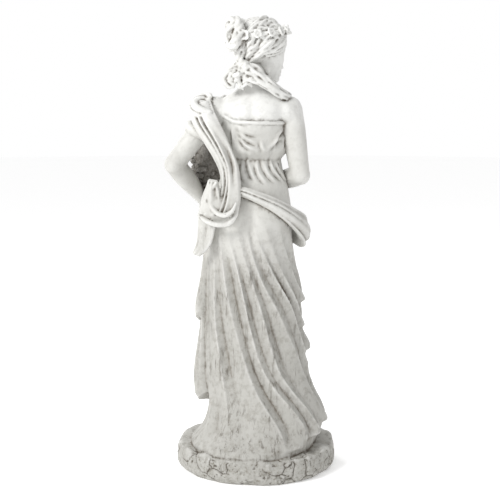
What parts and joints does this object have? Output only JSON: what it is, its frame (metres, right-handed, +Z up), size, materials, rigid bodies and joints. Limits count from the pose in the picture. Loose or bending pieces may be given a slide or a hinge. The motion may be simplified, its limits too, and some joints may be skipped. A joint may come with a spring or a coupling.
{
  "type": "goddess statue",
  "caption": "Standing draped goddess garden statue with an armful of blossoms, cast in one with its rounded rock base.",
  "frame": {"origin": "centre of the rock base's flat underside, on the floor", "axes": "+Z up; the figure's body faces -Y and her left hand is on the +X side, so the picture looks along -Y at her back"},
  "size_m": [0.3034, 0.2484, 0.8025],
  "materials": {
    "stone": "cast resin with an aged ivory stone finish and a dark grey-brown wash in the recesses"
  },
  "bodies": {
    "root": {"goddess_statue": "stone"}
  },
  "joints": []
}
